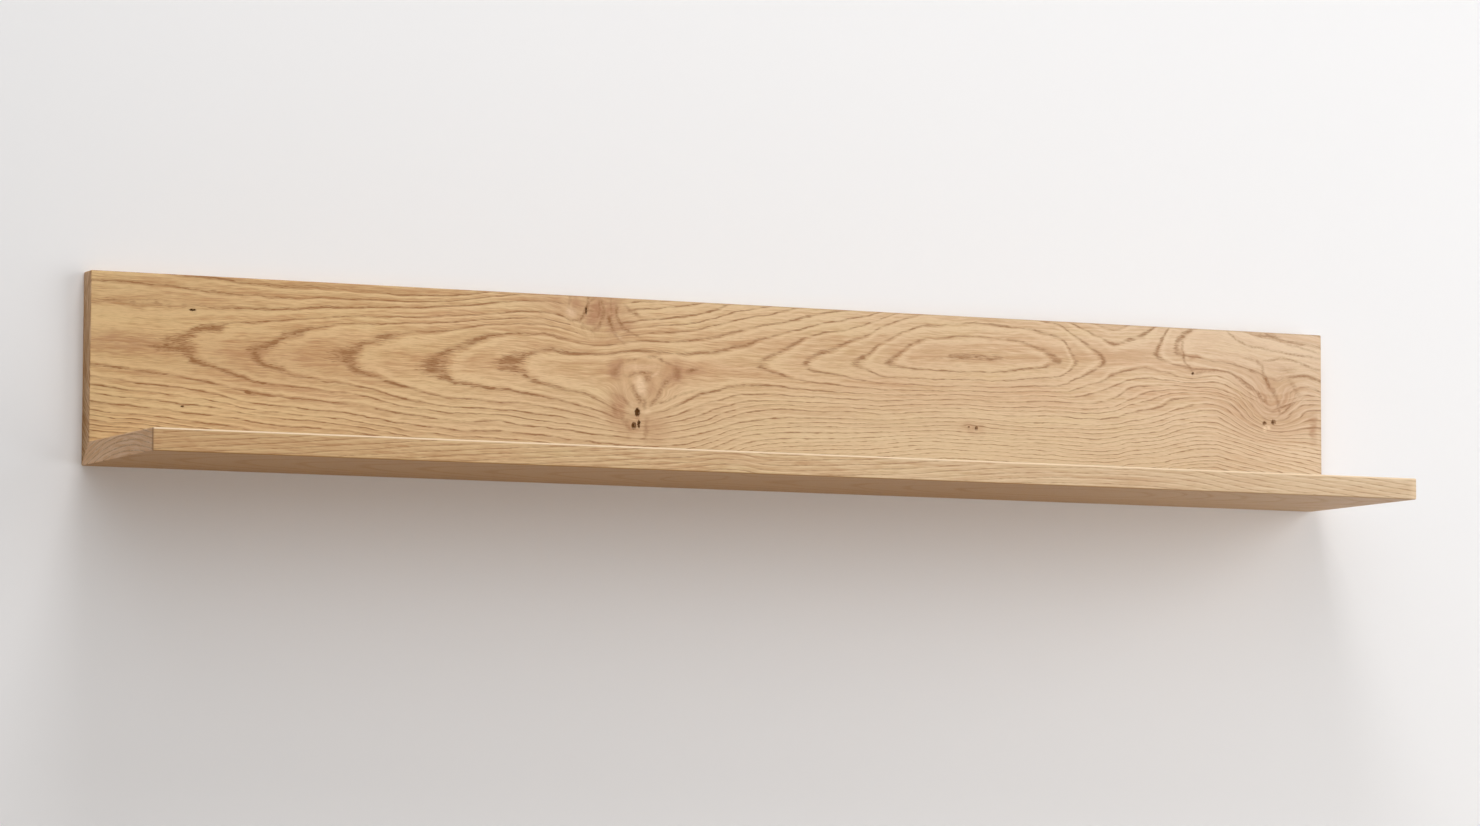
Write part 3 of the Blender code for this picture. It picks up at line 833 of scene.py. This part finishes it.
def finish_tree(tree, shape, material):
    real = add(tree, "GeometryNodeRealizeInstances", Geometry=shape)
    painted = add(tree, "GeometryNodeSetMaterial", Geometry=real.outputs[0], Material=material)
    out = next(node for node in tree.nodes if node.bl_idname == "NodeGroupOutput")
    feed(out.inputs[0], painted.outputs[0])


def grow(name, tree, sizes):
    """Run the tree on a new object and keep the result as a plain mesh."""
    piece = placed(name, bpy.data.meshes.new(name))
    modifier = piece.modifiers.new(name, "NODES")
    modifier.node_group = tree
    for item in tree.interface.items_tree:
        if item.in_out == "INPUT":
            modifier[item.identifier] = sizes[item.name]
    return settle_modifiers(piece)


# %% [markdown]
# ## Metal for the fittings
#
# The hanger plates are bright zinc on steel, and the screws are yellow zinc. Zinc plate is
# never one even grey: it has cloudy blotches, fine lines from the rolling, and duller places.
# Cloudy noise in the roughness gives the blotches, and a stretched noise gives the lines.

# %% Zinc plate
CLOUDS = (.006, .006, .006), 4.0, 2.0, .6


def zinc(name, bright, dull, line_sizes):
    material, shader, place = new_material(name)
    clouds = noise(place, *CLOUDS)
    lines = noise(place, line_sizes, detail=2.0, offset=5.0)
    cloudy = (clouds * 2.4 + lines * .8 + .5).kept_between(0, 1)
    feed(shader.inputs["Base Color"], blend(cloudy, bright, dull))
    feed(shader.inputs["Roughness"], (clouds * .45 + lines * .25 + .36).kept_between(.18, .7))
    shader.inputs["Metallic"].default_value = 1.0
    add_bump(shader, lines + clouds * .6, strength=0.25, distance=0.0001)
    return material


plate_zinc = zinc("bright_zinc_on_plates", bright=(.70, .71, .72), dull=(.50, .51, .53),
                  line_sizes=(.03, .03, .0004))
screw_zinc = zinc("yellow_zinc_on_screws", bright=(.78, .66, .38), dull=(.55, .44, .24),
                  line_sizes=(.0006, .004, .0006))
for name in ("hanger_plate_1", "hanger_plate_2", "hanger_plate_3"):
    for slot in nodes[name].material_slots:
        slot.material = plate_zinc

# %% [markdown]
# ## Wood screws
#
# Two countersunk wood screws hold each hanger plate. A real one is turned wire with a rolled
# thread and a pressed cross recess. A lathe of circles could make it, but the thread is not a
# circle: it climbs as it turns. So a flat grid is rolled up: one way round gives the angle,
# the other way gives the depth, and the thread's crest depends on both. A Boolean then
# presses the cross into the head.

# %% The tree that turns a grid into screws
SCREW_SIZES = {"Head radius": .0040, "Core radius": .0014, "Crest": .0006, "Length": .0160, "Pitch": .0018,
               "Recess": .0024, "Screws apart": .0440, "Plates apart": .6000, "Turn seed": 7}
ROUND_STEPS, DOWN_STEPS = 28, 96
SCREW_FACE, SCREW_ROW_HEIGHT = -0.0003, 0.0575
# shares of the way down the profile where the thread rises and dies out, and of a crest below the core
THREAD_RISES, THREAD_FADES, CREST_BELOW = (.24, .30), (.84, .99), .3
# the blades that press the cross: radius at the foot, depth, thinness, and how far they stand out
BLADE_FOOT, BLADE_DEPTH, BLADE_THIN, BLADE_PROUD = .0003, .0022, .22, .0003
# (place down the profile, share of the way out to the head's rim) and (the same, share of the length)
SCREW_RADII = ((0, 0), (.06, .96), (.08, 1.0), (.10, .96), (.24, .36), (.80, .35), (.97, .05), (1, 0))
SCREW_DEPTHS = ((0, 0), (.06, 0), (.08, .012), (.10, .03), (.24, .16), (.80, .76), (.97, .99), (1, 1))


def screw_tree(material):
    tree, size = shape_tree("wood_screws", SCREW_SIZES)
    grid = add(tree, "GeometryNodeMeshGrid", Size_X=1.0, Size_Y=1.0, Vertices_X=ROUND_STEPS + 1,
               Vertices_Y=DOWN_STEPS + 1)
    across, down, _ = where_it_lies(tree)
    angle = (across + .5) * math.tau
    share = down + .5
    depth = drawn_curve(share, SCREW_DEPTHS, 0, 1, "VECTOR") * size["Length"]
    thread = (depth / size["Pitch"] + across).through("PINGPONG", .5) * 2
    threaded = share.step(*THREAD_RISES) * (1 - share.step(*THREAD_FADES))
    radius = drawn_curve(share, SCREW_RADII, 0, 1, "VECTOR") * size["Head radius"]
    radius = radius + (thread.squared() * size["Crest"] - size["Crest"] * CREST_BELOW) * threaded
    place = point_at(tree, angle.through("COSINE") * radius, depth * -1, angle.through("SINE") * radius)
    rolled = add(tree, "GeometryNodeSetPosition", Geometry=grid.outputs["Mesh"], Position=place)
    closed = add(tree, "GeometryNodeMergeByDistance", Geometry=rolled.outputs[0], Distance=MERGE_REACH)
    outward = add(tree, "GeometryNodeFlipFaces", Mesh=closed.outputs[0])
    blades = []
    for turn in (0, math.pi / 2):
        blade = add(tree, "GeometryNodeMeshCone", Vertices=4, Radius_Top=BLADE_FOOT,
                    Radius_Bottom=size["Recess"], Depth=BLADE_DEPTH)
        thin = add(tree, "GeometryNodeTransform", Geometry=blade.outputs[0], Scale=(1, BLADE_THIN, 1))
        upright = add(tree, "GeometryNodeTransform", Geometry=thin.outputs[0],
                      Rotation=(math.pi / 2, turn, 0), Translation=(0, BLADE_PROUD, 0))
        blades.append(upright)
    cut = add(tree, "GeometryNodeMeshBoolean", {"operation": "DIFFERENCE", "solver": "EXACT"},
              Mesh_1=outward.outputs[0])
    for blade in blades:
        tree.links.new(blade.outputs[0], cut.inputs["Mesh 2"])
    smooth = add(tree, "GeometryNodeSetShadeSmooth", Geometry=cut.outputs[0], Shade_Smooth=True)
    rows = add(tree, "GeometryNodeMeshGrid", Size_X=size["Plates apart"] * 2, Size_Y=size["Screws apart"],
               Vertices_X=3, Vertices_Y=2)
    on_back = add(tree, "GeometryNodeTransform", Geometry=rows.outputs["Mesh"], Rotation=(math.pi / 2, 0, 0),
                  Translation=(0, SCREW_FACE, SCREW_ROW_HEIGHT))
    spin = add(tree, "FunctionNodeRandomValue", {"data_type": "FLOAT"}, Seed=size["Turn seed"])
    spin.inputs[3].default_value = math.tau
    turned = point_at(tree, 0, Wire(tree, spin.outputs[1]), 0)
    copies = add(tree, "GeometryNodeInstanceOnPoints", Points=on_back.outputs[0], Instance=smooth.outputs[0],
                 Rotation=turned)
    finish_tree(tree, copies.outputs[0], material)
    return tree


screws = grow("hanger_screws", screw_tree(screw_zinc), SCREW_SIZES)
screw_nodes = [name for name in nodes if name.startswith("hanger_screw_")]
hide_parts(*screw_nodes)
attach(screws, "root")
print("screws:", len(screws.data.polygons), "faces for", len(screw_nodes), "screws")

# %% [markdown]
# ## Beech biscuits
#
# A biscuit is a thin lens of beech, pressed with a diamond pattern so that the glue can run
# under it. It swells in its slot and locks the mitre. The lens could be cut with a Boolean,
# but here a fine block is simply squeezed towards its ends by the formula of a circle's arc,
# and the same formula's place says where the press marks go.

# %% Pressed beech
BEECH_FLECKS, FLECK_EDGE = ((.0016, .0005, .0005), 1.0, 3.0), (.05, .18)
BEECH_GRAIN, GRAIN_REACH = ((.020, .0020, .0020), 3.0, 8.0), 2.2
DARK_BEECH, PALE_BEECH, FLECK_BROWN = (.56, .36, .21), (.74, .54, .36), (.40, .22, .11)


def beech(name):
    material, shader, place = new_material(name)
    flecks = noise(place, *BEECH_FLECKS).step(*FLECK_EDGE)
    grain = noise(place, *BEECH_GRAIN)
    body = blend((grain * GRAIN_REACH + .5).kept_between(0, 1), DARK_BEECH, PALE_BEECH)
    feed(shader.inputs["Base Color"], blend(flecks * .5, body, FLECK_BROWN))
    feed(shader.inputs["Roughness"], (grain * .3 + .72).kept_between(.5, .95))
    add_bump(shader, grain, strength=0.3, distance=0.0001)
    return material


# %% The tree that makes the biscuits
BISCUIT_SIZES = {"Length": .0560, "Width": .0230, "Thickness": .0040, "Tip": .0010, "Mark pitch": .0040,
                 "Mark depth": .00015, "Count": 8, "First": -.6900, "Apart": 1.38 / 7}
# how far in front of the wall and how high the row lies, and its turn to lie across the mitre
BISCUIT_LINE = (-.0158, -.0867)
BISCUIT_TILT = math.radians(-45)
PRESSED = (.75, 1.0)


def biscuit_tree(material):
    tree, size = shape_tree("beech_biscuits", BISCUIT_SIZES)
    block = add(tree, "GeometryNodeMeshCube", Vertices_X=57, Vertices_Y=25, Vertices_Z=3,
                Size=point_at(tree, size["Length"], size["Width"], size["Thickness"]))
    x, y, z = where_it_lies(tree)
    half, wide = size["Length"] * .5, size["Width"] * .5
    arc = (half.squared() + wide.squared()) / (wide * 2)
    room = ((arc.squared() - x.squared()).through("SQRT") - arc + wide).through("MAXIMUM", size["Tip"])
    squeezed = y * room / wide
    marks = [((x + squeezed * way) / size["Mark pitch"]).through("PINGPONG", .5) * 2 for way in (1, -1)]
    pressed = marks[0].step(*PRESSED).through("MAXIMUM", marks[1].step(*PRESSED)) * size["Mark depth"]
    flat = z - z.through("SIGN") * pressed
    lens = add(tree, "GeometryNodeSetPosition", Geometry=block.outputs["Mesh"],
               Position=point_at(tree, x, squeezed, flat))
    row = add(tree, "GeometryNodeMeshLine", Count=size["Count"], Offset=point_at(tree, size["Apart"], 0, 0),
              Start_Location=point_at(tree, size["First"], *BISCUIT_LINE))
    copies = add(tree, "GeometryNodeInstanceOnPoints", Points=row.outputs[0], Instance=lens.outputs[0],
                 Rotation=(BISCUIT_TILT, 0, 0))
    finish_tree(tree, copies.outputs[0], material)
    return tree


biscuits = grow("biscuits", biscuit_tree(beech("pressed_beech")), BISCUIT_SIZES)
biscuit_nodes = [name for name in nodes if name.startswith("biscuit_")]
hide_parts(*biscuit_nodes)
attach(biscuits, "root")
print("biscuits:", len(biscuits.data.polygons), "faces for", len(biscuit_nodes), "biscuits")

# %% [markdown]
# ## The wall, the floor and the light
#
# The shelf hangs on a pale wall in a bright room. One sheet is the wall, and one far below is
# the floor. A lamp aimed at the ceiling would light the room as a window does, but its light
# is slow to settle into a clean picture. Three square lamps in front and a weak even room
# light give the same long soft shadow below the shelf, and a fourth lights the back. The floor
# and the room look pale to the eye but send back less light, because a floor as pale as it
# looks would light the underside from below. Both sheets are clear from behind, so that the
# shelf can be seen from the side of the wall, and the wall keeps no light from its back.

# %% The wall behind the shelf
WALL_GAP = 0.0005
WALL_REACH, WALL_TOP = 2.4, 1.8
FLOOR_DROP, FLOOR_REACH = 1.4, 6.0


def wall_or_floor_paint(name, colour):
    material = bpy.data.materials.new(name)
    material.use_nodes = True
    shader = material.node_tree.nodes["Principled BSDF"]
    shader.inputs["Base Color"].default_value = (*colour, 1)
    shader.inputs["Roughness"].default_value = 0.9
    shader.inputs["Specular IOR Level"].default_value = 0.1
    return material


def sheet(name, corners, material):
    mesh = bpy.data.meshes.new(name)
    mesh.from_pydata(corners, [], [range(len(corners))])
    mesh.materials.append(material)
    flat = placed(name, mesh)
    return flat


def seen_from_front_only(material):
    """Let the camera look through the back of the sheet, so the piece can be seen from behind."""
    tree = material.node_tree
    side, clear, choice = (tree.nodes.new("ShaderNode" + kind) for kind in
                           ("NewGeometry", "BsdfTransparent", "MixShader"))
    tree.links.new(side.outputs["Backfacing"], choice.inputs[0])
    tree.links.new(tree.nodes["Principled BSDF"].outputs[0], choice.inputs[1])
    tree.links.new(clear.outputs[0], choice.inputs[2])
    tree.links.new(choice.outputs[0], tree.nodes["Material Output"].inputs[0])


WALL_WHITE = (.925, .93, .945)
wall_paint = wall_or_floor_paint("wall_paint", WALL_WHITE)
seen_from_front_only(wall_paint)
wall = sheet("wall", [(-WALL_REACH, WALL_GAP, -FLOOR_DROP), (WALL_REACH, WALL_GAP, -FLOOR_DROP),
                      (WALL_REACH, WALL_GAP, WALL_TOP), (-WALL_REACH, WALL_GAP, WALL_TOP)], wall_paint)
wall.visible_shadow = False


# %% A floor that looks paler than the light it sends back
def rays_of_the_eye(tree):
    """1 on rays from the camera and on mirrored or refracted ones, 0 on rays that carry light."""
    path = tree.nodes.new("ShaderNodeLightPath")
    seen = Wire(tree, path.outputs["Is Camera Ray"])
    for kind in ("Is Glossy Ray", "Is Transmission Ray"):
        seen = seen.through("MAXIMUM", Wire(tree, path.outputs[kind]))
    return seen


# for the lamps the floor is warm and mid-toned, as a room's floor is, and for the eye it is pale
WARM_FLOOR = (.40, .33, .262)
PALE_FLOOR = (.86, .86, .86)
PALE_SHARE = 0.6
floor_paint = wall_or_floor_paint("floor_paint", WARM_FLOOR)
tree = floor_paint.node_tree
seen = rays_of_the_eye(tree)
paint = tree.nodes["Principled BSDF"]
feed(paint.inputs["Base Color"], blend(seen, WARM_FLOOR, PALE_FLOOR))
feed(paint.inputs["Emission Strength"], seen * PALE_SHARE)
paint.inputs["Emission Color"].default_value = (*PALE_FLOOR, 1)
seen_from_front_only(floor_paint)
sheet("floor", [(-FLOOR_REACH, -FLOOR_REACH, -FLOOR_DROP), (FLOOR_REACH, -FLOOR_REACH, -FLOOR_DROP),
                (FLOOR_REACH, FLOOR_REACH, -FLOOR_DROP), (-FLOOR_REACH, FLOOR_REACH, -FLOOR_DROP)],
      floor_paint)

# %% Three soft lamps in front, one behind, and an even room light
LAMP_DISTANCE = 3.5


def aimed_lamp(name, turn, rise, size, power):
    """A square lamp at a bearing and a height above the level, turned to the middle of the shelf."""
    turn, rise = math.radians(turn), math.radians(rise)
    way = Vector((math.cos(rise) * math.sin(turn), -math.cos(rise) * math.cos(turn), math.sin(rise)))
    data = bpy.data.lights.new(name, "AREA")
    data.shape = "SQUARE"
    data.size = size
    data.energy = power
    lamp = placed(name, data)
    lamp.location = way * LAMP_DISTANCE
    lamp.rotation_euler = way.to_track_quat("Z", "Y").to_euler()
    print(name, "at", [round(value, 2) for value in lamp.location])


aimed_lamp("high_left_lamp", turn=-16, rise=25, size=3.0, power=39.5)
aimed_lamp("low_right_lamp", turn=52, rise=-2, size=3.5, power=78)
aimed_lamp("small_top_lamp", turn=-10, rise=60, size=1.2, power=38)
aimed_lamp("rear_lamp", turn=170, rise=15, size=3.0, power=60)

# %% The room's own even light, and its pale look
ROOM_LIGHT = 0.205
PALE_BACKDROP = 0.95
world = bpy.data.worlds.new("pale_room")
bpy.context.scene.world = world
world.use_nodes = True
tree = world.node_tree
background = tree.nodes["Background"]
background.inputs["Color"].default_value = (1, 1, 1, 1)
feed(background.inputs["Strength"], rays_of_the_eye(tree) * (PALE_BACKDROP - ROOM_LIGHT) + ROOM_LIGHT)

# %% [markdown]
# ## The camera
#
# The view is from the left and below, through a long lens from six metres away. A camera can
# be turned by eye until the corners fit, but six unknowns at once are hard to judge. Here its
# place and its three turns come from nine corners of the shelf, and were rounded.

# %% Camera
PHOTO_WIDTH = 1480
FOCAL_PIXELS = 5451.8
SENSOR = 36.0
CAMERA_PLACE = (-2.5336, -5.4748, -0.5376)
# the turns about the upright, the level and the viewing axis, in radians
PAN, RISE, ROLL = -0.43552581, 0.08613495, -0.00397173
camera_data = bpy.data.cameras.new("camera")
camera_data.sensor_width = SENSOR
camera_data.lens = SENSOR * FOCAL_PIXELS / PHOTO_WIDTH
camera = placed("camera", camera_data)
camera.location = CAMERA_PLACE
turn = (Matrix.Rotation(PAN, 4, "Z") @ Matrix.Rotation(RISE, 4, "X") @ Matrix.Rotation(ROLL, 4, "Y")
        @ Matrix.Rotation(math.pi / 2, 4, "X"))
camera.rotation_euler = turn.to_euler()
bpy.context.scene.camera = camera
bpy.context.scene.view_settings.view_transform = "Standard"
